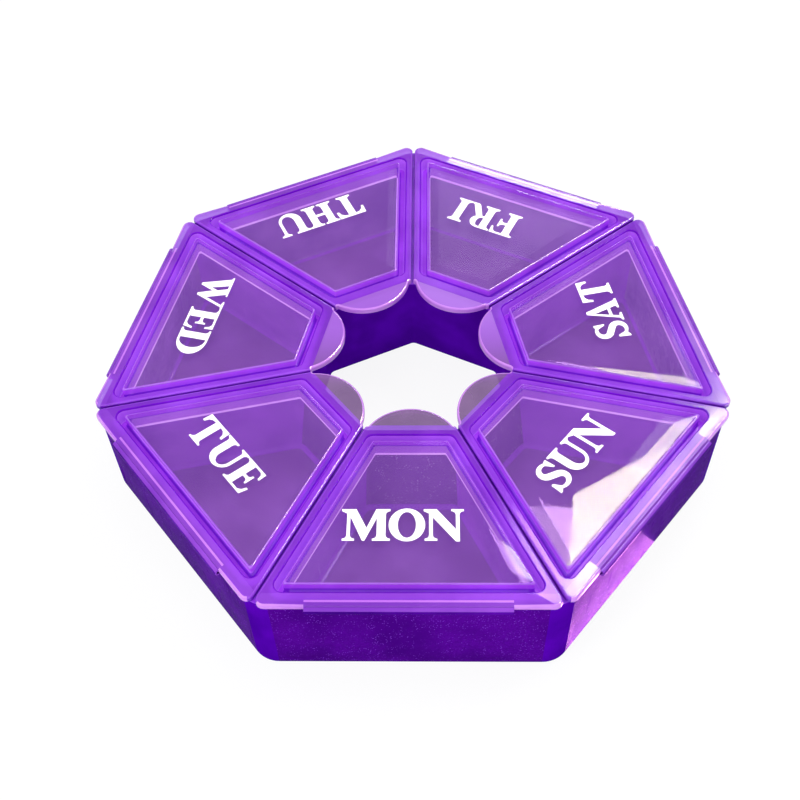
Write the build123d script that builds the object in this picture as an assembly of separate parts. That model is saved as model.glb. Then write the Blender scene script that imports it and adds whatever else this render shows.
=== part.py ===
from build123d import *
from math import cos, pi, sin, tan
import os

# Weekly pill organizer: a heptagonal ring tray with seven compartments, and a lid on each side.
# Each lid is hinged on the tray's outer edge by a thin folded web of the same plastic.
# All sizes are in mm. Z is up, the tray rests on Z = 0 and the ring's axis is the Z axis.
# A side is drawn in its own frame, where X runs outwards square to the side and Y along it.

# Days in the order of their sides, counted anticlockwise from above, and the first side's heading
days = ["mon", "sun", "sat", "fri", "thu", "wed", "tue"]
first_side_heading = -90.0
side_step = 360.0 / len(days)
half_angle = pi / len(days)

# Tray: heights, walls and the outer and inner heptagons, each given by its apothem
tray_height = 19.5
floor_thickness = 1.2
outer_apothem = 50.7
outer_wall = 1.0
outer_wall_draft = 0.4
outer_corner_radius = 5.0
hole_apothem = 16.4
inner_wall = 1.2
hole_flare = 2.2
hole_corner_radius = 1.3
partition = 1.4
partition_draft = 0.2
compartment_corner_radius = 2.2
compartment_floor_radius = 0.9
inner_wall_thinning = 0.1
foot_edge_radius = 0.5

# Hinge web: a thin strip folded in half round the rim line, and its margin on the rim's lip
web_thickness = 0.35
web_fold_radius = 0.55
hinge_length = 32.4
lip_margin = 0.075

# Lid: flange plate, groove, raised panel, plug and finger tab
lid_overhang = 0.65
lid_gap = 0.4
flange_thickness = 1.2
flange_top_radius = 0.35
flange_corner_spare = 0.05
flange_corner_radius = 1.3
plug_clearance = 0.25
plug_depth = 2.1
plug_draft = 0.25
plug_wall = 0.6
groove_width = 1.25
groove_draft = 0.2
groove_floor = 0.6
groove_edge_radius = 0.25
panel_rise = 0.4
panel_thickness = 1.0
panel_edge_radius = 0.25
least_corner_radius = 0.4
tab_reach = 3.8
tab_corner_margin = 0.476
tab_root_radius = 0.3

# How far a cutting solid runs past the face that it cuts
overrun = 1.0

# Apothem of the lids' outer edges
lid_apothem = outer_apothem + lid_overhang


def side_frame(index):
    """Placing of a side's own frame in the tray's frame."""
    return Rot(0, 0, first_side_heading + index * side_step)


def rounded(points, radii, height):
    """Flat face at a height through the points, each corner rounded by its own radius."""
    outline = Polyline(*[(x, y, height) for x, y in points], close=True)
    face = make_face(outline)
    for (x, y), radius in zip(points, radii):
        corner = face.vertices().sort_by_distance((x, y, height))[0]
        face = fillet(corner, radius)
    return face


def heptagon(apothem, radius, height):
    """Regular heptagon with one side square to each side's heading, corners rounded."""
    reach = apothem / cos(half_angle)
    points = []
    for index in range(len(days)):
        heading = (first_side_heading + (index + 0.5) * side_step) * pi / 180
        points.append((reach * cos(heading), reach * sin(heading)))
    return rounded(points, [radius] * len(days), height)


def sector(inner, outer, margin, inner_radius, outer_radius, height):
    """Trapezoid between two apothems, a margin inside the side's two radial planes."""
    half_inner = inner * tan(half_angle) - margin / cos(half_angle)
    half_outer = outer * tan(half_angle) - margin / cos(half_angle)
    points = [(inner, -half_inner), (outer, -half_outer), (outer, half_outer), (inner, half_inner)]
    return rounded(points, [inner_radius, outer_radius, outer_radius, inner_radius], height)


def mouth(inset, height):
    """Outline of a compartment's mouth, drawn in by an inset: what the plug's faces follow."""
    radius = max(compartment_corner_radius - inset, least_corner_radius)
    return sector(
        hole_apothem + inner_wall + inset,
        outer_apothem - outer_wall - inset,
        partition / 2 + inset,
        radius,
        radius,
        height,
    )


def compartment():
    """Space of one compartment, drafted towards its floor."""
    top = mouth(0, tray_height)
    bottom = sector(
        hole_apothem + inner_wall + hole_flare - inner_wall_thinning,
        outer_apothem - outer_wall - outer_wall_draft,
        partition / 2 + partition_draft,
        compartment_corner_radius,
        compartment_corner_radius,
        floor_thickness,
    )
    space = loft([bottom, top], ruled=True)
    floor = space.faces().sort_by(Axis.Z)[0]
    space = fillet(floor.edges(), compartment_floor_radius)
    return space + extrude(top, overrun)


def rim_lip():
    """Ledge on the outside of the rim, from the wall out to the lid's edge."""
    wall_face = outer_apothem - outer_wall_draft
    depth = lid_apothem - wall_face
    height = web_fold_radius + web_thickness / 2 + lip_margin
    ledge = Box(depth, hinge_length, height)
    return Pos(wall_face + depth / 2, 0, tray_height - height / 2) * ledge


def tray():
    """The ring tray: drafted outer wall, flared hole, seven compartments and seven lips."""
    bottom = heptagon(outer_apothem - outer_wall_draft, outer_corner_radius, 0)
    top = heptagon(outer_apothem, outer_corner_radius, tray_height)
    body = loft([bottom, top], ruled=True)
    foot = body.faces().sort_by(Axis.Z)[0]
    body = fillet(foot.edges(), foot_edge_radius)
    for index in range(len(days)):
        body += side_frame(index) * rim_lip()
    hole = loft(
        [
            heptagon(hole_apothem + hole_flare, hole_corner_radius, 0),
            heptagon(hole_apothem, hole_corner_radius, tray_height),
        ],
        ruled=True,
    )
    body -= hole
    for index in range(len(days)):
        body -= side_frame(index) * compartment()
    return body


def flange_outline():
    """Outline of the flange at the rim's height, with the finger tab standing out over the hole."""
    inner_radius = flange_top_radius + flange_corner_spare
    flange = sector(hole_apothem, lid_apothem, lid_gap / 2, inner_radius, flange_corner_radius, 0)
    half_width = hole_apothem * tan(half_angle) - lid_gap / 2 / cos(half_angle) - tab_corner_margin
    disc_radius = (half_width**2 + tab_reach**2) / (2 * tab_reach)
    disc = Pos(hole_apothem - tab_reach + disc_radius, 0, 0) * Circle(disc_radius)
    keep = Pos(hole_apothem - disc_radius, 0, 0) * Rectangle(2 * disc_radius, 2 * disc_radius)
    outline = flange + (disc & keep)
    for root in (-half_width, half_width):
        corner = outline.vertices().sort_by_distance((hole_apothem, root, 0))[0]
        outline = fillet(corner, tab_root_radius)
    return Pos(0, 0, tray_height) * outline


def lid():
    """One lid in its side's frame, closed: flange, tab, hollow plug ring and raised panel."""
    flange_top = tray_height + flange_thickness
    panel_top = flange_top + panel_rise
    plug_bottom = tray_height - plug_depth
    groove_bottom = plug_bottom + groove_floor
    groove_outer = plug_clearance + plug_wall
    panel_inset = groove_outer + groove_width

    plate = extrude(flange_outline(), flange_thickness)
    top_edges = plate.faces().sort_by(Axis.Z)[-1].edges()
    plate = fillet(top_edges, flange_top_radius)

    plug = loft(
        [mouth(plug_clearance + plug_draft, plug_bottom), mouth(plug_clearance, tray_height)],
        ruled=True,
    )
    panel = extrude(mouth(panel_inset, panel_top - panel_thickness), panel_thickness)
    panel = fillet(panel.faces().sort_by(Axis.Z)[-1].edges(), panel_edge_radius)

    groove = loft(
        [mouth(groove_outer + groove_draft, groove_bottom), mouth(groove_outer, flange_top)],
        ruled=True,
    )
    groove += extrude(mouth(groove_outer, flange_top), panel_rise + overrun)
    core = extrude(mouth(panel_inset, groove_bottom), panel_top - groove_bottom + overrun)
    groove -= core
    core_wall = extrude(mouth(panel_inset, plug_bottom), panel_top - panel_thickness - plug_bottom)
    pocket_height = panel_top - panel_thickness - plug_bottom
    pocket = extrude(mouth(panel_inset + plug_wall, plug_bottom), pocket_height)

    body = plate + plug - groove
    ringed = [face for face in body.faces().filter_by(Axis.Z) if face.inner_wires()]
    flange_face = ShapeList(ringed).sort_by(Axis.Z)[-1]
    body = fillet(flange_face.inner_wires()[0].edges(), groove_edge_radius)
    body += core_wall
    body += panel
    body -= pocket
    return body


def hinge_web():
    """One hinge web in its side's frame: a half tube between the lip and the lid's flange."""
    outside = Circle(web_fold_radius + web_thickness / 2)
    inside = Circle(web_fold_radius - web_thickness / 2)
    span = 2 * (web_fold_radius + web_thickness)
    outer_half = Pos(span / 2, 0, 0) * Rectangle(span, span)
    section = Plane.XZ * ((outside - inside) & outer_half)
    strip = extrude(section, hinge_length / 2, both=True)
    return Pos(lid_apothem, 0, tray_height) * strip


os.makedirs("parts", exist_ok=True)
export_step(tray(), "parts/tray.step")
closed_lid = lid()
folded_web = hinge_web()
for index, day in enumerate(days):
    export_step(side_frame(index) * closed_lid, f"parts/lid_{day}.step")
    export_step(side_frame(index) * folded_web, f"parts/hinge_{day}.step")
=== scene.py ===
from math import atan2, cos, hypot, pi, radians, sin, sqrt, tan
import bmesh
import bpy
from mathutils import Matrix, Vector


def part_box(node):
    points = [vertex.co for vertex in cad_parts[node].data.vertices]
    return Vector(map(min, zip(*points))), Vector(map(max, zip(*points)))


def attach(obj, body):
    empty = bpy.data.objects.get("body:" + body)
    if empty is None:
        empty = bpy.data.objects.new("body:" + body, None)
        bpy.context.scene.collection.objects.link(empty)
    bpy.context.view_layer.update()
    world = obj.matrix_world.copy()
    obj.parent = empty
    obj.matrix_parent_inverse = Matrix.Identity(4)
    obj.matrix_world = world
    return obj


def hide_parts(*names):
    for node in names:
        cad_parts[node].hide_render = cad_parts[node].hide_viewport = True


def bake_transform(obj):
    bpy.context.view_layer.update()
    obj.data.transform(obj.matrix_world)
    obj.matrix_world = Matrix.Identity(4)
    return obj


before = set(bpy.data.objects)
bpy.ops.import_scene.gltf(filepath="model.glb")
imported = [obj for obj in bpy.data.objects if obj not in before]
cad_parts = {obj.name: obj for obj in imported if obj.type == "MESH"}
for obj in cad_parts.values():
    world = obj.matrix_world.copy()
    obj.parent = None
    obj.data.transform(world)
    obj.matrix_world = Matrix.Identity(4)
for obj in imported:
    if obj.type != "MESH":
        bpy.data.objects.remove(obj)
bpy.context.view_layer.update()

# Weekly pill organizer of translucent purple plastic: a seven-sided ring tray, and a hinged lid on
# each side with a groove, a raised panel, a printed day and a finger tab.
# Lengths are in metres. A side is drawn in its own frame: X outwards from the ring's axis, Y along it.
mm = 0.001

# Sides, counted anticlockwise from above, starting with the one that faces the camera
days = ["mon", "sun", "sat", "fri", "thu", "wed", "tue"]
first_heading = -pi / 2
side_step = 2 * pi / len(days)
half_angle = side_step / 2

# Places read from the frame
tray_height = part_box("tray")[1].z
panel_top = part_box("lid_mon")[1].z
plug_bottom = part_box("lid_mon")[0].z
lid_apothem = -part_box("lid_mon")[0].y
tab_apex = -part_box("lid_mon")[1].y
hinge_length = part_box("hinge_mon")[1].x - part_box("hinge_mon")[0].x

# Tray
outer_apothem = 50.7 * mm
outer_draft = 0.4 * mm
outer_corner = 5.0 * mm
foot_radius = 0.5 * mm
hole_apothem = 16.4 * mm
hole_flare = 2.2 * mm
hole_corner = 1.3 * mm
inner_wall = 1.2 * mm
inner_draft = 2.1 * mm
outer_wall = 1.0 * mm
partition = 1.4 * mm
partition_draft = 0.2 * mm
floor_thickness = 1.2 * mm
pocket_corner = 2.2 * mm
pocket_floor_radius = 0.9 * mm
lip_height = 0.8 * mm
tray_edge = 0.14 * mm
tray_edge_segments = 2
tray_edge_angle = radians(50)
corner_lean = radians(3)

# Lid
flange_thickness = 1.2 * mm
flange_edge = 0.35 * mm
lid_gap = 0.4 * mm
flange_corner = 1.3 * mm
flange_inner_corner = 0.42 * mm
flange_side_bands = 2
tab_half_width = 7.2 * mm
tab_root = 0.3 * mm
plug_clearance = 0.25 * mm
plug_draft = 0.25 * mm
plug_wall = 0.6 * mm
groove_width = 1.25 * mm
groove_draft = 0.2 * mm
groove_floor = 0.6 * mm
groove_edge = 0.25 * mm
groove_foot_height = 1.5 * mm
plug_foot_height = 0.7 * mm
lid_ease = 0.15 * mm
panel_thickness = 1.0 * mm
panel_edge = 0.25 * mm
panel_crown = 0.14 * mm
crown_width = 2.4 * mm
crown_steps = 8
strip_width = 2.2 * mm
strip_margin = 2 * mm
strip_slope = 0.12
strip_line = 1.1 * mm
strip_line_width = 0.36 * mm
least_corner = 0.35 * mm
ink_height = 0.05 * mm
corner_lead = 0.5 * mm

# Hinge web
web_thickness = 0.35 * mm
web_steps = 16

# Steps of the rounds
edge_steps = 4
groove_edge_steps = 3
pocket_corner_steps = 6
tray_corner_steps = 8
tab_steps = 28

# Tolerances: points that are one, heights that are the same, and a lip's length
weld_distance = 0.001 * mm
height_slack = 0.01 * mm
length_slack = 0.05 * mm

# Edges sharper than these are drawn sharp, on plastic and on ink
sharp_angle = radians(35)
ink_sharp_angle = radians(30)

# Least shares of a face's normal that make it a wall across the side, a wall along it, or a web's end
across_share = 0.8
along_share = 0.85
end_share = 0.5

# Plastic: its drifting tone, uneven sheen, grain, specks and scratches. A range is where a ramp of the
# noise starts and ends; the far range is from front to back, in metres.
fine_detail = 3.0
tone_size = 9 * mm
tone_range = (0.3, 0.7)
specked_tone = 0.4
sheen_size = 2.5 * mm
sheen_change = 0.6
grain_size = 0.32 * mm
grain_roughness = 0.65
grain_range = (0.42, 0.62)
grain_shade = 0.55
grain_depth = 0.02 * mm
grain_strength = 0.54
speck_spacing = 0.42 * mm
speck_range = (0.12, 0.30)
speck_strength = 0.8
patch_size = 1.6 * mm
patch_start = 0.6
patch_end = 0.7
scratch_turn = (0.0, 0.0, 0.6)
scratch_stretch = (1.0, 14.0, 1.0)
scratch_scale = 90.0
scratch_detail = 2.0
scratch_range = (0.6, 0.8)
scratch_height = 0.1
refraction = 1.49
far_range = (-9 * mm, 7 * mm)

# Ink
mottle_range = (0.35, 0.8)
mottle_size = 0.4 * mm
mottle_depth = 0.01 * mm
mottle_strength = 0.4
ink_roughness = 0.45
ink_roughness_change = 0.15


class Value:
    """A socket of a material's nodes. Sums written with it add Math nodes."""

    def __init__(self, shader, socket):
        self.shader = shader
        self.socket = socket

    def _sum(self, operation, a, b):
        return self.shader.node("ShaderNodeMath", {"operation": operation}, {0: a, 1: b})

    def __add__(self, other):
        return self._sum("ADD", self, other)

    def __radd__(self, other):
        return self._sum("ADD", other, self)

    def __sub__(self, other):
        return self._sum("SUBTRACT", self, other)

    def __rsub__(self, other):
        return self._sum("SUBTRACT", other, self)

    def __mul__(self, other):
        return self._sum("MULTIPLY", self, other)

    def __rmul__(self, other):
        return self._sum("MULTIPLY", other, self)

    def ramp(self, low, high):
        """0 below the low value, 1 above the high one, smooth between."""
        sockets = {0: self, 1: low, 2: high}
        return self.shader.node("ShaderNodeMapRange", {"interpolation_type": "SMOOTHSTEP"}, sockets)


class Shader:
    """The nodes of a material, or of the world."""

    def __init__(self, owner):
        self.owner = owner
        self.owner.use_nodes = True
        self.tree = owner.node_tree
        self.tree.nodes.clear()

    def node(self, kind, settings=None, sockets=None, out=0):
        """One node: its settings first, then the values or links of its sockets."""
        made = self.tree.nodes.new(kind)
        for key, setting in (settings or {}).items():
            setattr(made, key, setting)
        for key, given in (sockets or {}).items():
            if isinstance(given, Value):
                self.tree.links.new(given.socket, made.inputs[key])
            else:
                made.inputs[key].default_value = given
        return Value(self, made.outputs[out]) if made.outputs else made

    def mix(self, factor, a, b):
        return self.node("ShaderNodeMix", {"data_type": "RGBA"}, {0: factor, 6: a, 7: b}, out=2)

    def place(self):
        """The point's place on the piece, in metres."""
        return self.node("ShaderNodeTexCoord", out=3)

    def noise(self, size, detail=2.0, roughness=0.5):
        """Cloudy noise, 0 to 1, whose lumps are about as large as size."""
        settings = {"noise_dimensions": "3D"}
        sockets = {"Vector": self.place(), "Scale": 1 / size, "Detail": detail, "Roughness": roughness}
        return self.node("ShaderNodeTexNoise", settings, sockets)

    def cells(self, size):
        """Distance to the nearest of points scattered about a size apart, in shares of it."""
        sockets = {"Vector": self.place(), "Scale": 1 / size, "Randomness": 1.0}
        return self.node("ShaderNodeTexVoronoi", {}, sockets)

    def bump(self, height, depth, strength=1.0):
        sockets = {"Height": height, "Distance": depth, "Strength": strength}
        return self.node("ShaderNodeBump", {}, sockets)

    def seen(self):
        """1 for rays from the camera, a reflection or a glass, else 0."""
        camera, glossy, glass = [
            self.node("ShaderNodeLightPath", out=f"Is {kind} Ray")
            for kind in ("Camera", "Glossy", "Transmission")
        ]
        either = self.node("ShaderNodeMath", {"operation": "MAXIMUM"}, {0: camera, 1: glossy})
        return self.node("ShaderNodeMath", {"operation": "MAXIMUM"}, {0: either, 1: glass})

    def finish(self, surface, output="ShaderNodeOutputMaterial"):
        self.node(output, {}, {"Surface": surface})
        return self.owner


def material_shader(name):
    """The nodes of a new material."""
    return Shader(bpy.data.materials.new(name))


def srgb(red, green, blue):
    """A colour as it is seen, 0 to 255 a channel, as linear light."""
    shares = [channel / 255 for channel in (red, green, blue)]
    linear = [s / 12.92 if s <= 0.04045 else ((s + 0.055) / 1.055) ** 2.4 for s in shares]
    return (*linear, 1.0)


def plastic(
    name, deep, pale, far=None, alpha=1.0, rough=0.16, shine=0.5, glow=0.0, grain=0.0, specks=None
):
    """Purple moulded plastic: drifting tone, fine grain, scattered specks and hairline scratches.

    The glow is a painted glow: the share of its colour that it sends out as light, standing in for light
    that spreads inside clear plastic.
    The far colour is painted on places over the dark walls on the hole's far side, standing in for those
    walls seen through the plastic.
    Specks are given as their colour and how far their patches spread."""
    shader = material_shader(name)
    drift = shader.noise(tone_size, fine_detail).ramp(*tone_range) * (specked_tone if specks else 1.0)
    colour = shader.mix(drift, deep, pale)
    if far:
        back = shader.node("ShaderNodeSeparateXYZ", {}, {"Vector": shader.place()}, out=1)
        colour = shader.mix(back.ramp(*far_range), colour, far)
    fine = shader.noise(grain_size, fine_detail, grain_roughness)
    if specks:
        speck_colour, spread = specks
        patches = shader.noise(patch_size).ramp(patch_start - spread, patch_end)
        dots = (1.0 - shader.cells(speck_spacing).ramp(*speck_range)) * patches
        colour = shader.mix(fine.ramp(*grain_range) * grain_shade, colour, deep)
        colour = shader.mix(dots * speck_strength, colour, speck_colour)
    scratch_place = shader.node(
        "ShaderNodeMapping",
        {},
        {"Vector": shader.place(), "Rotation": scratch_turn, "Scale": scratch_stretch},
    )
    scratches = shader.node(
        "ShaderNodeTexNoise",
        {"noise_dimensions": "3D"},
        {"Vector": scratch_place, "Scale": scratch_scale, "Detail": scratch_detail},
    )
    sheen = shader.noise(sheen_size) * sheen_change + scratches.ramp(*scratch_range) + sheen_change
    roughness = sheen * rough
    height = scratches * scratch_height + fine * grain
    surface = shader.node(
        "ShaderNodeBsdfPrincipled",
        {},
        {
            "Base Color": colour,
            "Roughness": roughness,
            "IOR": refraction,
            "Specular IOR Level": shine,
            "Alpha": alpha,
            "Emission Color": colour,
            "Emission Strength": glow,
            "Normal": shader.bump(height, grain_depth, grain_strength * grain),
        },
    )
    return shader.finish(surface)


def ink(name, colour, worn):
    """Matt printing ink with a faint mottle of a worn colour."""
    shader = material_shader(name)
    mottle = shader.noise(mottle_size, fine_detail)
    surface = shader.node(
        "ShaderNodeBsdfPrincipled",
        {},
        {
            "Base Color": shader.mix(mottle.ramp(*mottle_range), colour, worn),
            "Roughness": ink_roughness + mottle * ink_roughness_change,
            "Normal": shader.bump(mottle, mottle_depth, mottle_strength),
        },
    )
    return shader.finish(surface)


# Finishes of the tray: outer wall, its rounded corners, the hole's wall, the rim, and the compartments'
# partitions, floor, walls towards the hole and walls towards the outside
tray_finishes = [
    plastic("tray_wall", srgb(60, 2, 114), srgb(100, 12, 168), rough=0.34, shine=0.0004, grain=1.0,
            specks=(srgb(136, 62, 212), 0.26)),
    plastic("tray_corner", srgb(62, 2, 138), srgb(80, 4, 164), rough=0.2, shine=0.0),
    # painted glow: the hole's wall sends out light of its own colour
    plastic("hole_wall", srgb(56, 2, 118), srgb(70, 4, 142), rough=0.22, shine=0.0, glow=0.5),
    plastic("tray_rim", srgb(112, 28, 190), srgb(138, 50, 212), rough=0.2, shine=0.2),
    # painted glow on the partitions, floor and compartment walls below: they send out light of their own
    # colour
    plastic("partition", srgb(142, 68, 196), srgb(162, 84, 214), rough=0.2, shine=0.1, glow=0.22),
    plastic("compartment_floor", srgb(138, 84, 170), srgb(156, 102, 190), rough=0.2, shine=0.1, glow=0.08),
    plastic("frosted_wall", srgb(128, 76, 168), srgb(152, 100, 192), rough=0.45, shine=0.1, glow=0.1,
            grain=1.0, specks=(srgb(236, 210, 246), 0.2)),
    plastic("inside_of_wall", srgb(146, 96, 186), srgb(166, 114, 202), rough=0.3, shine=0.1, glow=0.14,
            grain=0.5),
]
WALL, CORNER, HOLE, RIM, PARTITION, FLOOR, FROSTED, INSIDE = range(len(tray_finishes))

# Finishes of a lid: panel, flange, groove's bottom and plug's outside, outer edges in a painted highlight,
# finger tab, panel's edge in a painted highlight, strip along the hinge, groove's outer wall, plug's foot
# in a painted highlight, flange's sides along the seams in painted shade, groove's rim in painted shade, a
# pale painted highlight line on the strip, upper edge along the seams in a faint painted highlight, plug's
# inside, foot of the groove's inner wall in painted shade, and the flange's corners beside the strip,
# painted lighter as a painted highlight. The groove, its outer wall, the plug's foot and inside, the foot
# of the groove's inner wall and the line on the strip also send out a painted glow.
lid_finishes = [
    plastic("lid_panel", srgb(124, 70, 164), srgb(138, 82, 178), alpha=0.19, rough=0.025, shine=0.6),
    plastic("lid_flange", srgb(122, 38, 196), srgb(140, 54, 212), alpha=0.64, rough=0.1, shine=0.3),
    # painted glow: the groove's bottom and plug's outside send out light of their own colour
    plastic("lid_groove", srgb(142, 48, 200), srgb(160, 62, 218), alpha=0.7, rough=0.14, shine=0.1,
            glow=0.42),
    # painted highlight: the flange's rounded outer edges are painted pale lavender
    plastic("lid_edge_highlight", srgb(190, 116, 226), srgb(212, 140, 240), alpha=0.76, rough=0.1, shine=0.6),
    # painted: the tabs turn a brighter violet towards the back, standing in for the dark walls seen
    # through them
    plastic("lid_tab", srgb(98, 60, 116), srgb(112, 72, 130), far=srgb(156, 92, 206), alpha=0.74,
            rough=0.1, shine=0.4),
    # painted highlight: the panel's rounded edge is painted lighter and less clear than the panel
    plastic("panel_edge", srgb(156, 84, 212), srgb(174, 104, 228), alpha=0.66, rough=0.08, shine=0.5),
    plastic("hinge_strip", srgb(132, 54, 200), srgb(150, 70, 216), alpha=0.64, rough=0.12, shine=0.3),
    # painted glow: the groove's outer wall sends out light of its own colour
    plastic("groove_outside", srgb(154, 76, 206), srgb(170, 92, 220), alpha=0.8, rough=0.14, shine=0.1,
            glow=0.36),
    # painted highlight with a painted glow: the plug's foot is painted pale lavender and sends out light
    plastic("plug_foot_highlight", srgb(222, 160, 248), srgb(236, 184, 252), alpha=0.9, rough=0.14, shine=0.3,
            glow=0.55),
    # painted shade: the flange's sides along the seams are painted dark, as the shaded gap between lids
    plastic("flange_side_shade", srgb(88, 18, 164), srgb(108, 30, 186), alpha=0.9, rough=0.2, shine=0.2),
    # painted shade: a dark line painted on the groove's rim
    plastic("groove_rim_shade", srgb(96, 8, 176), srgb(114, 18, 196), alpha=0.84, rough=0.1, shine=0.02),
    # painted highlight with a faint painted glow: a pale line painted along the strip where it bends down
    plastic("strip_line", srgb(176, 100, 216), srgb(192, 120, 232), alpha=0.86, rough=0.1, shine=0.3,
            glow=0.07),
    # faint painted highlight: the upper edge along the seams is painted a little lighter than the flange
    plastic("side_edge_highlight", srgb(132, 46, 204), srgb(150, 62, 222), alpha=0.74, rough=0.1, shine=0.5),
    # painted glow: the plug's inside sends out light of its own colour
    plastic("plug_inside", srgb(170, 96, 216), srgb(188, 114, 232), alpha=0.7, rough=0.14, shine=0.1,
            glow=0.34),
    # painted shade with a painted glow: the foot of the groove's inner wall is painted dark, and sends out
    # a little light
    plastic("groove_foot_shade", srgb(106, 10, 184), srgb(124, 20, 204), alpha=0.84, rough=0.14, shine=0.1,
            glow=0.22),
    # painted highlight: the flange's corners beside the strip are painted lighter than the rest of the
    # flange
    plastic("flange_corner", srgb(132, 50, 204), srgb(150, 68, 220), alpha=0.66, rough=0.1, shine=0.35),
]
(PANEL, FLANGE, GROOVE, EDGE_HIGHLIGHT, TAB, PANEL_EDGE_HIGHLIGHT, STRIP, OUTSIDE, PLUG_FOOT_HIGHLIGHT, SIDE_SHADE, GROOVE_RIM_SHADE, LINE_HIGHLIGHT,
 SIDE_EDGE_HIGHLIGHT, PLUG, GROOVE_FOOT_SHADE, FLANGE_CORNER_HIGHLIGHT) = range(len(lid_finishes))

# Finishes of a hinge web: its upper part with its ends, and its underside, painted dark as painted shade
hinge_finishes = [
    plastic("hinge_web", srgb(126, 56, 190), srgb(148, 74, 208), alpha=0.8, rough=0.2, shine=0.08),
    plastic("hinge_underside_shade", srgb(54, 2, 116), srgb(82, 8, 154), alpha=0.95, rough=0.2, shine=0.004),
]
WEB, WEB_UNDERSIDE_SHADE = range(len(hinge_finishes))

ink_finish = ink("printed_day", srgb(252, 250, 252), srgb(238, 232, 240))


def turn(index):
    """Turn of a side's own frame into the tray's frame."""
    return Matrix.Rotation(first_heading + index * side_step, 4, "Z")


def arc(x, y, radius_x, radius_y, start, end, steps):
    """Points on an arc, both ends with it, angles in radians."""
    angles = [start + (end - start) * step / steps for step in range(steps + 1)]
    return [(x + radius_x * cos(angle), y + radius_y * sin(angle)) for angle in angles]


def rounded(corners, radii, lead=0.0):
    """Outline through convex corners, anticlockwise, each rounded by its own radius.

    A lead adds a point that far from each round, which keeps the long sides' shading straight."""
    points = []
    for index, corner in enumerate(corners):
        corner = Vector(corner)
        back = (Vector(corners[index - 1]) - corner).normalized()
        ahead = (Vector(corners[(index + 1) % len(corners)]) - corner).normalized()
        half = back.angle(ahead) / 2
        centre = corner + (back + ahead).normalized() * radii[index] / sin(half)
        first = corner + back * radii[index] / tan(half) - centre
        start = atan2(first.y, first.x)
        end = start + pi - 2 * half
        turned = arc(centre.x, centre.y, radii[index], radii[index], start, end, pocket_corner_steps)
        if lead:
            away = radii[index] / tan(half) + lead
            turned = [tuple(corner + back * away)] + turned + [tuple(corner + ahead * away)]
        points += turned
    return points


def sector(inner, outer, margin, inner_radius, outer_radius, lead=0.0):
    """Trapezoid between two apothems, a margin inside the side's two radial planes."""
    half_inner = inner * tan(half_angle) - margin / cos(half_angle)
    half_outer = outer * tan(half_angle) - margin / cos(half_angle)
    corners = [(inner, -half_inner), (outer, -half_outer), (outer, half_outer), (inner, half_inner)]
    return rounded(corners, [inner_radius, outer_radius, outer_radius, inner_radius], lead)


def mouth(inset, lead=0.0):
    """A compartment's mouth, drawn in by an inset."""
    radius = max(pocket_corner - inset, least_corner)
    inner = hole_apothem + inner_wall + inset
    return sector(inner, outer_apothem - outer_wall - inset, partition / 2 + inset, radius, radius, lead)


def pocket(height, inset=0.0):
    """A compartment's outline at a height, drafted towards the floor, drawn in by an inset."""
    share = (tray_height - height) / (tray_height - floor_thickness)
    inner = hole_apothem + inner_wall + inner_draft * share + inset
    outer = outer_apothem - outer_wall - outer_draft * share - inset
    radius = pocket_corner - inset
    return sector(inner, outer, partition / 2 + partition_draft * share + inset, radius, radius)


def flange(inset):
    """The flange's outline with its finger tab, drawn in by an inset."""
    outline = sector(
        hole_apothem + inset,
        lid_apothem - inset,
        lid_gap / 2 + inset,
        flange_inner_corner - inset,
        flange_corner - inset,
    )
    reach = hole_apothem - tab_apex
    disc_radius = (tab_half_width**2 + reach**2) / (2 * reach)
    disc_x = tab_apex + disc_radius
    root_x = hole_apothem - tab_root
    root_y = sqrt((disc_radius + tab_root) ** 2 - (disc_x - root_x) ** 2)
    lean = atan2(root_y, disc_x - root_x)
    root_radius = tab_root + inset
    edge_radius = disc_radius - inset
    outline += arc(root_x, root_y, root_radius, root_radius, 0, -lean, edge_steps)
    outline += arc(disc_x, 0, edge_radius, edge_radius, pi - lean, pi + lean, tab_steps)[1:-1]
    outline += arc(root_x, -root_y, root_radius, root_radius, lean, 0, edge_steps)
    return outline


def heptagon(apothem, radius, lips=False):
    """Seven-sided outline in the tray's frame, corners rounded, with the lips' ends marked if asked."""
    outline = []
    for index in range(len(days)):
        heading = first_heading + index * side_step
        along = Vector((-sin(heading), cos(heading)))
        middle = Vector((cos(heading), sin(heading))) * apothem
        if lips:
            half_lip = along * hinge_length / 2
            outline += [tuple(middle - half_lip), tuple(middle + half_lip)]
        reach = (apothem - radius) / cos(half_angle)
        corner_x = reach * cos(heading + half_angle)
        corner_y = reach * sin(heading + half_angle)
        end = heading + side_step
        outline += arc(corner_x, corner_y, radius, radius, heading, end, tray_corner_steps)
    return outline


def placed(name, data):
    """A new object, linked to the scene."""
    made = bpy.data.objects.new(name, data)
    bpy.context.scene.collection.objects.link(made)
    return made


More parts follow.
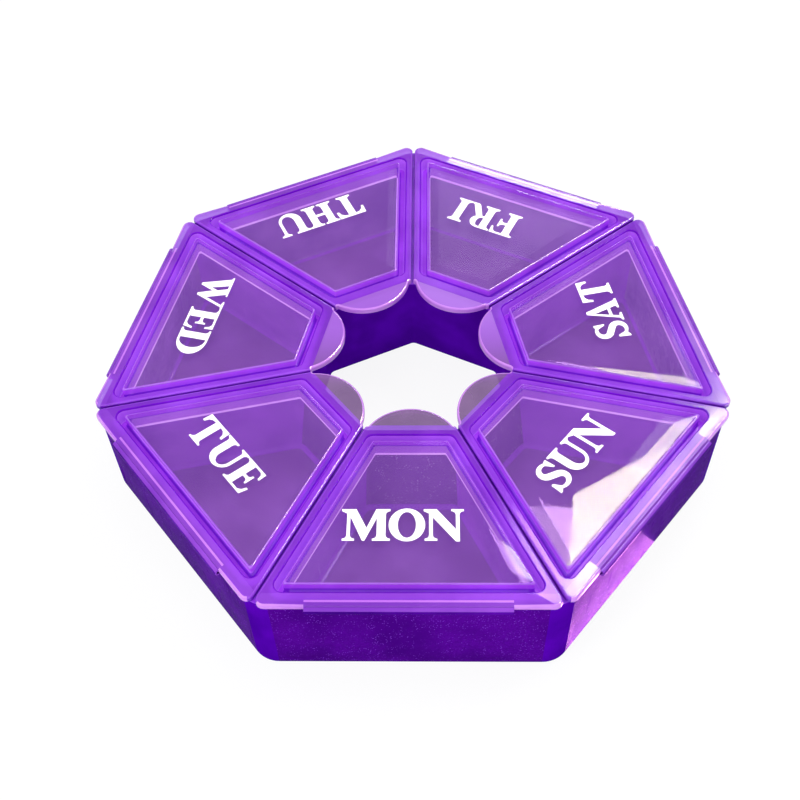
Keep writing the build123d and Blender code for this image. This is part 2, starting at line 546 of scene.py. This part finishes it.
class Form:
    """A mesh in the making."""

    def __init__(self):
        self.bm = bmesh.new()

    def ring(self, outline, height, frame_turn=None):
        """A closed ring of edges through an outline at a height."""
        verts = [self.bm.verts.new((x, y, height)) for x, y in outline]
        if frame_turn:
            bmesh.ops.transform(self.bm, matrix=frame_turn, verts=verts)
        return [self.bm.edges.new((verts[i - 1], verts[i])) for i in range(len(verts))]

    def band(self, ring_a, ring_b, finish=0):
        """Faces between two rings."""
        faces = bmesh.ops.bridge_loops(self.bm, edges=ring_a + ring_b)["faces"]
        for face in faces:
            face.material_index = finish
            face.smooth = True
        return faces

    def stack(self, rings, finishes):
        """Bands between rings that follow each other."""
        return [self.band(a, b, finish) for a, b, finish in zip(rings, rings[1:], finishes)]

    def fill(self, rings, finish=0):
        """Flat faces inside a ring, or between it and the rings inside it."""
        edges = [edge for ring in rings for edge in ring]
        made = bmesh.ops.triangle_fill(self.bm, use_beauty=True, use_dissolve=False, edges=edges)["geom"]
        for item in made:
            if isinstance(item, bmesh.types.BMFace):
                item.material_index = finish
                item.smooth = False

    def extruded(self, faces):
        """Extrudes faces and gives the points of their copy."""
        made = bmesh.ops.extrude_face_region(self.bm, geom=faces)["geom"]
        return [item for item in made if isinstance(item, bmesh.types.BMVert)]

    def piece(self, name, finishes, body, sharp=sharp_angle):
        """The finished piece, riding on its body if it has one, with its flat faces kept flat."""
        bmesh.ops.remove_doubles(self.bm, verts=self.bm.verts, dist=weld_distance)
        bmesh.ops.recalc_face_normals(self.bm, faces=self.bm.faces)
        flat = [index for index, face in enumerate(self.bm.faces) if not face.smooth]
        mesh = bpy.data.meshes.new(name)
        self.bm.to_mesh(mesh)
        self.bm.free()
        mesh.set_sharp_from_angle(angle=sharp)
        for index in flat:
            mesh.polygons[index].use_smooth = False
        for finish in finishes:
            mesh.materials.append(finish)
        made = placed(name, mesh)
        if body:
            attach(made, body)
        return made


def quarter(radius, steps=edge_steps):
    """Run and rise of a quarter round, from its flat end to its upright one."""
    angles = [pi / 2 * step / steps for step in range(steps + 1)]
    return [(radius * (1 - sin(angle)), radius * (1 - cos(angle))) for angle in angles]


def make_tray():
    """The ring tray: outer wall with its lips, rim, hole and seven compartments."""
    form = Form()
    rings = []
    for run, rise in quarter(foot_radius):
        foot_outline = heptagon(outer_apothem - outer_draft - run, outer_corner - run, lips=True)
        rings.append(form.ring(foot_outline, rise))
    lip_bottom = tray_height - lip_height
    for height in (lip_bottom, tray_height):
        apothem = outer_apothem - outer_draft * (1 - height / tray_height)
        rings.append(form.ring(heptagon(apothem, outer_corner, lips=True), height))
    bands = form.stack(rings, [WALL] * len(rings))
    for faces in bands:
        for face in faces:
            face.normal_update()
            heading = atan2(face.normal.y, face.normal.x) - first_heading
            lean = heading - round(heading / side_step) * side_step
            face.material_index = CORNER if abs(lean) > corner_lean else WALL

    lip_faces = [
        face
        for face in bands[-1]
        if abs(max(edge.calc_length() for edge in face.edges) - hinge_length) < length_slack
    ]
    for face in lip_faces:
        centre = face.calc_center_median()
        out = Vector((centre.x, centre.y, 0)).normalized()
        for vert in form.extruded([face]):
            vert.co += out * (lid_apothem - vert.co.dot(out))
        bmesh.ops.delete(form.bm, geom=[face], context="FACES_ONLY")
    bmesh.ops.recalc_face_normals(form.bm, faces=form.bm.faces)

    hole_rings = []
    for height in (0.0, tray_height):
        apothem = hole_apothem + hole_flare * (1 - height / tray_height)
        hole_rings.append(form.ring(heptagon(apothem, hole_corner), height))
    form.band(*hole_rings, HOLE)

    for index in range(len(days)):
        placing = turn(index)
        pocket_rings = [form.ring(pocket(tray_height), tray_height, placing)]
        for run, rise in reversed(quarter(pocket_floor_radius)):
            height = floor_thickness + rise
            pocket_rings.append(form.ring(pocket(height, run), height, placing))
        for faces in form.stack(pocket_rings, [PARTITION] * len(pocket_rings)):
            for face in faces:
                face.normal_update()
                facing = abs((placing.inverted() @ face.normal).x)
                centre = placing.inverted() @ face.calc_center_median()
                if facing > across_share:
                    face.material_index = FROSTED if centre.x < hole_apothem * 2 else INSIDE
        form.fill([pocket_rings[-1]], FLOOR)
    top = [
        edge
        for edge in form.bm.edges
        if edge.is_boundary and all(vert.co.z > tray_height - height_slack for vert in edge.verts)
    ]
    form.fill([top], RIM)
    form.fill([rings[0], hole_rings[0]], WALL)
    tray = form.piece("ring_tray", tray_finishes, "tray")
    bevel = tray.modifiers.new("edges", "BEVEL")
    bevel.width = tray_edge
    bevel.segments = tray_edge_segments
    bevel.limit_method = "ANGLE"
    bevel.angle_limit = tray_edge_angle
    bevel.harden_normals = True
    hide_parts("tray")


def make_lid(index):
    """One lid: flange with its tab, hollow plug ring with the groove in it, and raised panel."""
    form = Form()
    flange_top = tray_height + flange_thickness
    plate_top = panel_top - ink_height
    ceiling = plate_top - panel_thickness
    groove_bottom = plug_bottom + groove_floor
    groove_outer = plug_clearance + plug_wall
    panel_inset = groove_outer + groove_width
    pocket_inset = panel_inset + plug_wall
    plug_inset = plug_clearance + plug_draft
    groove_inset = groove_outer + groove_draft

    plug_rings = [
        form.ring(mouth(pocket_inset), ceiling),
        form.ring(mouth(pocket_inset), plug_bottom + plug_foot_height),
        form.ring(mouth(pocket_inset), plug_bottom + lid_ease),
        form.ring(mouth(pocket_inset - lid_ease), plug_bottom),
        form.ring(mouth(plug_inset + lid_ease), plug_bottom),
        form.ring(mouth(plug_inset), plug_bottom + lid_ease),
        form.ring(mouth(plug_clearance), tray_height),
    ]
    form.fill([plug_rings[0]], PANEL)
    form.stack(plug_rings, [PLUG, PLUG_FOOT_HIGHLIGHT, PLUG_FOOT_HIGHLIGHT, GROOVE, GROOVE, GROOVE])

    rim_rings = [form.ring(flange(lid_ease), tray_height), form.ring(flange(0), tray_height + lid_ease)]
    for run, rise in reversed(quarter(flange_edge)):
        rim_rings.append(form.ring(flange(run), flange_top - rise))
    form.fill([plug_rings[-1], rim_rings[0]], FLANGE)
    # Rounded rim bands take the edge's painted highlight; along the seams the lower bands take painted
    # shade and the upper ones a faint painted highlight
    for level, faces in enumerate(form.stack(rim_rings, [EDGE_HIGHLIGHT] * len(rim_rings))):
        for face in faces:
            face.normal_update()
            facing = abs(face.normal.y) / hypot(face.normal.x, face.normal.y)
            if facing > along_share and face.calc_center_median().x > hole_apothem:
                face.material_index = SIDE_SHADE if level < flange_side_bands else SIDE_EDGE_HIGHLIGHT

    top_rings = []
    for run, rise in quarter(groove_edge, groove_edge_steps):
        top_rings.append(form.ring(mouth(groove_outer - run), flange_top - rise))
    top_finishes = [GROOVE_RIM_SHADE] * (len(top_rings) - 1)
    top_rings.append(form.ring(mouth(groove_inset), groove_bottom + lid_ease))
    top_rings.append(form.ring(mouth(groove_inset + lid_ease), groove_bottom))
    top_rings.append(form.ring(mouth(panel_inset - lid_ease, corner_lead), groove_bottom))
    top_rings.append(form.ring(mouth(panel_inset, corner_lead), groove_bottom + lid_ease))
    top_rings.append(form.ring(mouth(panel_inset, corner_lead), groove_bottom + groove_foot_height))
    top_finishes += [OUTSIDE, OUTSIDE, GROOVE, GROOVE_FOOT_SHADE, GROOVE_FOOT_SHADE, GROOVE]
    crown_low = plate_top - panel_crown
    for run, rise in reversed(quarter(panel_edge)):
        top_rings.append(form.ring(mouth(panel_inset + run, corner_lead), crown_low - rise))
    top_finishes += [PANEL_EDGE_HIGHLIGHT] * edge_steps
    for step in range(1, crown_steps + 1):
        share = step / crown_steps
        inset = panel_inset + panel_edge + crown_width * share
        height = crown_low + panel_crown * (1 - (1 - share) ** 2)
        top_rings.append(form.ring(mouth(inset, corner_lead), height))
        top_finishes.append(PANEL)
    form.fill([rim_rings[-1], top_rings[0]], FLANGE)
    form.stack(top_rings, top_finishes)
    form.fill([top_rings[-1]], PANEL)

    cut = Vector((hole_apothem, 0, 0))
    geometry = form.bm.verts[:] + form.bm.edges[:] + form.bm.faces[:]
    bmesh.ops.bisect_plane(form.bm, geom=geometry, plane_co=cut, plane_no=(1, 0, 0))
    for face in form.bm.faces:
        if face.calc_center_median().x < hole_apothem and face.material_index == FLANGE:
            face.material_index = TAB

    strip_start = lid_apothem - strip_width
    line_start = lid_apothem - strip_line
    line_end = line_start + strip_line_width
    strip_cuts = [((x, 0, 0), (1, 0, 0)) for x in (strip_start, line_start, line_end)]
    strip_cuts += [((0, side * hinge_length / 2, 0), (0, 1, 0)) for side in (-1, 1)]
    flange_middle = tray_height + flange_thickness / 2
    for point, normal in strip_cuts:
        rim = []
        for face in form.bm.faces:
            centre = face.calc_center_median()
            near = centre.x > strip_start - strip_margin and centre.z > flange_middle
            if near and face.material_index in (FLANGE, EDGE_HIGHLIGHT):
                rim.append(face)
        parts = set(rim)
        parts |= {edge for face in rim for edge in face.edges}
        parts |= {vert for face in rim for vert in face.verts}
        bmesh.ops.bisect_plane(form.bm, geom=list(parts), plane_co=point, plane_no=normal)
    for vert in form.bm.verts:
        on_top = vert.co.z > flange_top - flange_edge - height_slack
        beside_hinge = abs(vert.co.y) < hinge_length / 2 + height_slack
        if on_top and beside_hinge and vert.co.x > strip_start:
            vert.co.z -= strip_slope * (vert.co.x - strip_start)
    for face in form.bm.faces:
        centre = face.calc_center_median()
        if centre.x < strip_start or centre.z < flange_middle:
            continue
        if face.material_index in (FLANGE, EDGE_HIGHLIGHT) and abs(centre.y) < hinge_length / 2:
            face.material_index = LINE_HIGHLIGHT if line_start < centre.x < line_end else STRIP
        elif face.material_index == FLANGE:
            face.material_index = FLANGE_CORNER_HIGHLIGHT
    bmesh.ops.transform(form.bm, matrix=turn(index), verts=form.bm.verts)
    day = days[index]
    lid = form.piece(f"{day}_lid", lid_finishes, f"lid_{day}")
    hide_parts(f"lid_{day}")


def make_hinge(index):
    """One hinge web: a thin strip folded in half."""
    form = Form()
    day = days[index]
    low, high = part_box(f"hinge_{day}")
    middle_z = (low.z + high.z) / 2
    outside = (high.z - low.z) / 2
    inside = outside - web_thickness
    section = arc(0, 0, outside, outside, -pi / 2, pi / 2, web_steps)
    section += arc(0, 0, inside, inside, pi / 2, -pi / 2, web_steps)
    verts = [form.bm.verts.new((lid_apothem + x, -hinge_length / 2, middle_z + z)) for x, z in section]
    edges = [form.bm.edges.new((verts[i - 1], verts[i])) for i in range(len(verts))]
    end_faces = bmesh.ops.contextual_create(form.bm, geom=edges)["faces"]
    bmesh.ops.translate(form.bm, vec=(0, hinge_length, 0), verts=form.extruded(end_faces))
    for face in form.bm.faces:
        face.smooth = True
        face.normal_update()
        low_part = face.calc_center_median().z < middle_z + outside / 2
        face.material_index = WEB_UNDERSIDE_SHADE if low_part and abs(face.normal.y) < end_share else WEB
    bmesh.ops.transform(form.bm, matrix=turn(index), verts=form.bm.verts)
    web = form.piece(f"{day}_hinge_web", hinge_finishes, None)
    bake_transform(web)
    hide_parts(f"hinge_{day}")


# Letters for the day names, drawn for this piece: capitals one unit high, with slab serifs whose
# hollow brackets end three slabs from the line
slab = 0.06
overhang = 0.12
bracket_slabs = 3


def bracket(x, y, reach, rise):
    """Hollow curve from a stem out to the end of its serif."""
    fall = rise * (bracket_slabs - 1)
    angles = [pi / 2 * step / edge_steps for step in range(edge_steps + 1)]
    start = y + rise * bracket_slabs
    return [(x + reach * (1 - cos(angle)), start - fall * sin(angle)) for angle in angles]


def foot(a, b, y, up):
    """Serif under (up 1) or over (up -1) a stem between a and b, drawn from a to b."""
    side = overhang if b > a else -overhang
    near = bracket(a, y, -side, slab * up)
    far = bracket(b, y, side, slab * up)
    return near + [(a - side, y), (b + side, y)] + far[::-1]


def half_serif(x, y, reach, up, outwards):
    """Serif on one side of a stem; outwards runs from the stem to the tip, else the other way."""
    points = bracket(x, y, reach, slab * up) + [(x + reach, y)]
    return points if outwards else points[::-1]


def bow(spine, widths):
    """Outline of a stroke along a spine, with a width at each point."""
    left, right = [], []
    for index, (x, y) in enumerate(spine):
        before = spine[max(index - 1, 0)]
        after = spine[min(index + 1, len(spine) - 1)]
        run, rise = after[0] - before[0], after[1] - before[1]
        length = hypot(run, rise)
        half = widths[index] / 2
        left.append((x - rise / length * half, y + run / length * half))
        right.append((x + rise / length * half, y - run / length * half))
    return left, right


def letter_s():
    """S: two bows joined by a thick diagonal, with a beak at each end."""
    upper = arc(0.41, 0.745, 0.245, 0.205, radians(38), radians(228), 10)
    lower = arc(0.40, 0.265, 0.265, 0.215, radians(50), radians(-148), 10)
    spine = upper + lower
    last = len(spine) - 1
    widths = [0.08 + 0.13 * sin(pi * index / last) ** 1.6 for index in range(last + 1)]
    left, right = bow(spine, widths)
    top_beak = [(0.63, 0.99), (0.69, 0.99), (0.71, 0.66), (0.655, 0.66)]
    bottom_beak = [(0.145, 0.35), (0.075, 0.35), (0.045, -0.01), (0.115, 0.0)]
    return [right[1:-1] + bottom_beak + left[-2:0:-1] + top_beak[::-1]]


def letters():
    """Width and contours of each letter; the first contour is the outside, drawn anticlockwise."""
    arm_e = [(0.62, 0.93), (0.70, 0.87), (0.745, 0.72), (0.805, 0.72), (0.79, 1.0)]
    tongue = [(0.37, 0.46), (0.51, 0.46), (0.57, 0.42), (0.59, 0.34), (0.645, 0.34)]
    tongue += [(0.645, 0.68), (0.59, 0.68), (0.57, 0.60), (0.51, 0.56), (0.37, 0.56)]
    head = half_serif(0.12, 1.0, -overhang, -1, False)
    base = half_serif(0.12, 0.0, -overhang, 1, True)
    u_bowl = arc(0.585, 0.37, 0.215, 0.27, 0, -pi, 12)
    u_outside = arc(0.51, 0.37, 0.39, 0.39, pi, 2 * pi, 14)
    return {
        "A": (0.98, [
            [(0, 0), (0.33, 0), (0.33, 0.05), (0.20, 0.09), (0.262, 0.28), (0.598, 0.28), (0.66, 0.09),
             (0.56, 0.05), (0.56, 0), (0.98, 0), (0.98, 0.05), (0.905, 0.09), (0.56, 1.03), (0.45, 1.03),
             (0.10, 0.09), (0, 0.05)],
            [(0.292, 0.37), (0.435, 0.80), (0.568, 0.37)],
        ]),
        "D": (1.0, [
            base + arc(0.42, 0.5, 0.58, 0.5, -pi / 2, pi / 2, 16) + head,
            [(0.37, 0.07)] + arc(0.42, 0.5, 0.32, 0.43, -pi / 2, pi / 2, 14) + [(0.37, 0.93)],
        ]),
        "E": (0.86, [
            base + [(0.80, 0), (0.86, 0.30), (0.79, 0.30), (0.74, 0.15), (0.64, 0.07), (0.37, 0.07)]
            + tongue + [(0.37, 0.93)] + arm_e + head,
        ]),
        "F": (0.82, [foot(0.12, 0.37, 0, 1) + tongue + [(0.37, 0.93)] + arm_e + head]),
        "H": (1.04, [
            foot(0.12, 0.37, 0, 1) + [(0.37, 0.45), (0.67, 0.45)] + foot(0.67, 0.92, 0, 1)
            + foot(0.92, 0.67, 1, -1) + [(0.67, 0.55), (0.37, 0.55)] + foot(0.37, 0.12, 1, -1),
        ]),
        "I": (0.49, [foot(0.12, 0.37, 0, 1) + foot(0.37, 0.12, 1, -1)]),
        "M": (1.31, [
            foot(0.145, 0.235, 0, 1) + [(0.235, 0.76), (0.565, 0), (0.63, 0), (0.95, 0.72)]
            + foot(0.95, 1.19, 0, 1) + half_serif(1.19, 1.0, overhang, -1, True)
            + [(0.93, 1.0), (0.675, 0.40), (0.39, 1.0), (0, 1.0), (0, 0.94), (0.145, 0.86)],
        ]),
        "N": (1.09, [
            foot(0.145, 0.245, 0, 1) + [(0.245, 0.74), (0.86, -0.02), (0.965, -0.02)]
            + foot(0.965, 0.865, 1, -1) + [(0.865, 0.36), (0.35, 1.0), (0, 1.0), (0, 0.94), (0.145, 0.86)],
        ]),
        "O": (0.88, [
            arc(0.44, 0.5, 0.49, 0.52, 0, 2 * pi, 36)[:-1],
            arc(0.44, 0.5, 0.245, 0.41, 0, 2 * pi, 30)[:-1],
        ]),
        "R": (1.0, [
            foot(0.12, 0.37, 0, 1)
            + [(0.37, 0.47), (0.45, 0.47), (0.70, 0.05), (0.76, 0), (1.0, 0), (1.0, 0.05), (0.93, 0.07)]
            + arc(0.45, 0.74, 0.31, 0.26, radians(-50), pi / 2, 10) + head,
            [(0.37, 0.55)] + arc(0.43, 0.74, 0.125, 0.19, -pi / 2, pi / 2, 8) + [(0.37, 0.93)],
        ]),
        "S": (0.76, letter_s()),
        "T": (0.96, [
            foot(0.355, 0.605, 0, 1)
            + [(0.605, 0.91), (0.74, 0.89), (0.84, 0.81), (0.885, 0.67), (0.96, 0.67), (0.94, 1.0),
               (0.02, 1.0), (0, 0.67), (0.075, 0.67), (0.12, 0.81), (0.22, 0.89), (0.355, 0.91)],
        ]),
        "U": (1.03, [
            u_outside + foot(0.90, 0.80, 1, -1) + u_bowl + foot(0.37, 0.12, 1, -1),
        ]),
        "W": (1.42, [
            [(0.39, -0.02), (0.47, -0.02), (0.655, 0.44), (0.83, -0.02), (0.91, -0.02), (1.28, 0.92),
             (1.42, 0.95), (1.42, 1.0), (1.06, 1.0), (1.06, 0.95), (1.19, 0.91), (0.955, 0.32),
             (0.735, 0.94), (0.82, 0.95), (0.82, 1.0), (0, 1.0), (0, 0.95), (0.08, 0.92)],
            [(0.36, 0.92), (0.525, 0.36), (0.615, 0.60), (0.50, 0.92)],
        ]),
    }


# Each word's ends along the side, and its top and foot from the ring's axis, in millimetres
word_places = {
    "mon": (-10.9, 8.8, 33.8, 39.8),
    "sun": (-8.8, 7.9, 32.4, 38.4),
    "sat": (-5.4, 9.5, 33.2, 39.3),
    "fri": (-4.4, 9.0, 34.0, 40.4),
    "thu": (-7.7, 10.0, 36.9, 42.9),
    "wed": (-10.4, 9.3, 36.5, 42.1),
    "tue": (-10.3, 6.8, 35.5, 41.1),
}
letter_kern = 0.01


def make_word(index, alphabet):
    """A day's printed name on its panel, its foot towards the side's outer edge."""
    day = days[index]
    left, right, top, bottom = (place * mm for place in word_places[day])
    drawn = [alphabet[letter] for letter in day.upper()]
    natural = sum(width for width, _ in drawn) + letter_kern * (len(drawn) - 1)
    wide = (right - left) / natural
    high = bottom - top
    form = Form()
    start = left
    for width, contours in drawn:
        rings = [
            form.ring([(bottom - y * high, start + x * wide) for x, y in contour], panel_top - ink_height)
            for contour in contours
        ]
        form.fill(rings)
        start += (width + letter_kern) * wide
    bmesh.ops.translate(form.bm, vec=(0, 0, ink_height), verts=form.extruded(form.bm.faces[:]))
    bmesh.ops.transform(form.bm, matrix=turn(index), verts=form.bm.verts)
    form.piece(f"{day}_word", [ink_finish], f"lid_{day}", sharp=ink_sharp_angle)


make_tray()
alphabet = letters()
for number in range(len(days)):
    make_lid(number)
    make_hinge(number)
    make_word(number, alphabet)


# Room: white, the world's light on the piece and as it is seen, the share of the floor that stays
# white, the floor's half size and the lumps of its tone, and the height of the glint over it
white = (1.0, 1.0, 1.0, 1.0)
world_light = 0.5
white_light = 1.0
floor_white_share = 0.9
floor_reach = 4.0
floor_lump = 30 * mm
glint_height = 0.05 * mm

# Reflection cards, in millimetres: height of those over the piece and of those behind the window, and
# distance of the upright one
card_height = 300
back_card_height = 302
card_distance = 300

# Lamps: place, size, power, and whether they show as a reflection
lamps = {
    "right_lamp": ((0.25, 0.22, 0.45), 0.3, 1.6, True),
    "top_lamp": ((-0.03, 0.06, 0.65), 0.3, 1.0, False),
    "left_lamp": ((-0.35, -0.25, 0.40), 0.4, 1.5, True),
    "front_lamp": ((0.10, -0.50, 0.30), 0.4, 1.2, True),
}


def overhead(outline, height=card_height):
    """Corners of a level card over the piece, from millimetres."""
    return [Vector((x, y, height)) * mm for x, y in outline]


def upright(outline):
    """Corners of a card that stands on the piece's right, from places along Y and up in millimetres."""
    return [Vector((card_distance, y, z)) * mm for y, z in outline]


def on_floor(outline, index):
    """Corners of a card on the floor in front of a side, from millimetres in the side's own frame."""
    return [turn(index) @ Vector((x * mm, y * mm, glint_height)) for x, y in outline]


# Cards that only show as reflections: corners, radiance and colour
window = [
    (57, 116), (62, 140), (64, 161), (97, 182), (113, 192), (127, 205), (190, 250), (210, 212), (95, 82)
]
back_bar = [(162, 498), (184, 542), (33, 615), (11, 571)]
side_window = [(90, 340), (180, 330), (330, 640), (100, 700), (15, 390)]
pink_wall = [(39, 152), (45, 158), (64, 156), (62, 140), (57, 116), (48, 95), (39, 95)]
window_sill = [(105, 80), (225, 215), (210, 90), (120, 55)]
ceiling_haze = [(-5, 384), (-5, 270), (10, 262), (28, 260), (40, 268), (100, 335)]
floor_glint = [(50.3, -22), (64, -6.2), (64, 6), (50.3, 6)]
cards = {
    "window": (overhead(window), 56.0, (1.0, 0.95, 0.6, 1.0)),
    "back_bar": (overhead(back_bar), 34.0, white),
    "side_window": (upright(side_window), 40.0, white),
    "pink_wall": (overhead(pink_wall, back_card_height), 40.0, (0.86, 0.50, 1.0, 1.0)),
    "window_sill": (overhead(window_sill, back_card_height), 7.0, (1.0, 0.8, 1.0, 1.0)),
    "ceiling_haze": (overhead(ceiling_haze), 4.4, (0.86, 0.76, 1.0, 1.0)),
    "floor_glint": (on_floor(floor_glint, days.index("sun")), 38.0, (0.92, 0.30, 0.90, 1.0)),
}


def area_light(name, place, size, power, shown):
    """A soft square lamp at a place, facing the tray's middle."""
    lamp = bpy.data.lights.new(name, "AREA")
    lamp.shape = "SQUARE"
    lamp.size = size
    lamp.energy = power
    made = placed(name, lamp)
    made.visible_glossy = shown
    facing = Vector((0, 0, tray_height)) - Vector(place)
    made.matrix_world = Matrix.Translation(place) @ facing.to_track_quat("-Z", "Y").to_matrix().to_4x4()


def card(name, corners, radiance, colour):
    """A bright card that only shows as a reflection."""
    shader = material_shader(name)
    surface = shader.node("ShaderNodeEmission", {}, {"Color": colour, "Strength": radiance})
    mesh = bpy.data.meshes.new(name)
    bm = bmesh.new()
    bmesh.ops.contextual_create(bm, geom=[bm.verts.new(corner) for corner in corners])
    bm.to_mesh(mesh)
    bm.free()
    mesh.materials.append(shader.finish(surface))
    made = placed(name, mesh)
    made.visible_camera = False
    made.visible_diffuse = False
    made.visible_shadow = False
    made.visible_transmission = False


def make_floor():
    """Pale floor that looks white and keeps the piece's shadow."""
    shader = material_shader("pale_floor")
    tone = shader.mix(shader.noise(floor_lump), srgb(244, 244, 246), srgb(250, 250, 252))
    diffuse = shader.node("ShaderNodeBsdfDiffuse", {}, {"Color": tone})
    bright = shader.node("ShaderNodeEmission", {}, {"Color": white, "Strength": white_light})
    share = shader.seen() * floor_white_share
    surface = shader.node("ShaderNodeMixShader", {}, {0: share, 1: diffuse, 2: bright})
    mesh = bpy.data.meshes.new("floor")
    bm = bmesh.new()
    bmesh.ops.create_grid(bm, x_segments=1, y_segments=1, size=floor_reach)
    bm.to_mesh(mesh)
    bm.free()
    mesh.materials.append(shader.finish(surface))
    floor = placed("floor", mesh)


def make_world():
    """World that looks white and lights the piece softly."""
    world = bpy.data.worlds.new("white_room")
    bpy.context.scene.world = world
    shader = Shader(world)
    strength = shader.seen() * (white_light - world_light) + world_light
    background = shader.node("ShaderNodeBackground", {}, {"Color": white, "Strength": strength})
    shader.finish(background, "ShaderNodeOutputWorld")


def make_stage():
    """Floor, world, lamps and reflection cards."""
    make_floor()
    make_world()
    for name, lamp in lamps.items():
        area_light(name, *lamp)
    for name, bright in cards.items():
        card(name, *bright)


# Camera of the photograph: its distance, height angle, swing, roll and shift, its lens and sensor in
# millimetres, and the nearest and farthest that it sees
camera_distance = 220.1 * mm
camera_elevation = radians(51.17)
camera_azimuth = radians(2.30)
camera_roll = radians(-1.90)
camera_shift = Vector((-1.88 * mm, -10.83 * mm, tray_height + flange_thickness))
lens = 57.15
sensor_width = 36
nearest_seen = 0.01
farthest_seen = 20


def make_camera():
    """Camera at the photograph's viewing angle."""
    lying = cos(camera_elevation)
    back = Vector((sin(camera_azimuth) * lying, -cos(camera_azimuth) * lying, sin(camera_elevation)))
    right = (-back).cross(Vector((0, 0, 1))).normalized()
    up = right.cross(-back)
    right_rolled = right * cos(camera_roll) + up * sin(camera_roll)
    up_rolled = up * cos(camera_roll) - right * sin(camera_roll)
    place = camera_shift + back * camera_distance
    camera = bpy.data.cameras.new("camera")
    camera.lens = lens
    camera.sensor_width = sensor_width
    camera.clip_start = nearest_seen
    camera.clip_end = farthest_seen
    made = placed("camera", camera)
    axes = Matrix((right_rolled, up_rolled, back)).transposed().to_4x4()
    made.matrix_world = Matrix.Translation(place) @ axes
    bpy.context.scene.camera = made


make_stage()
make_camera()
bpy.context.scene.view_settings.view_transform = "Standard"
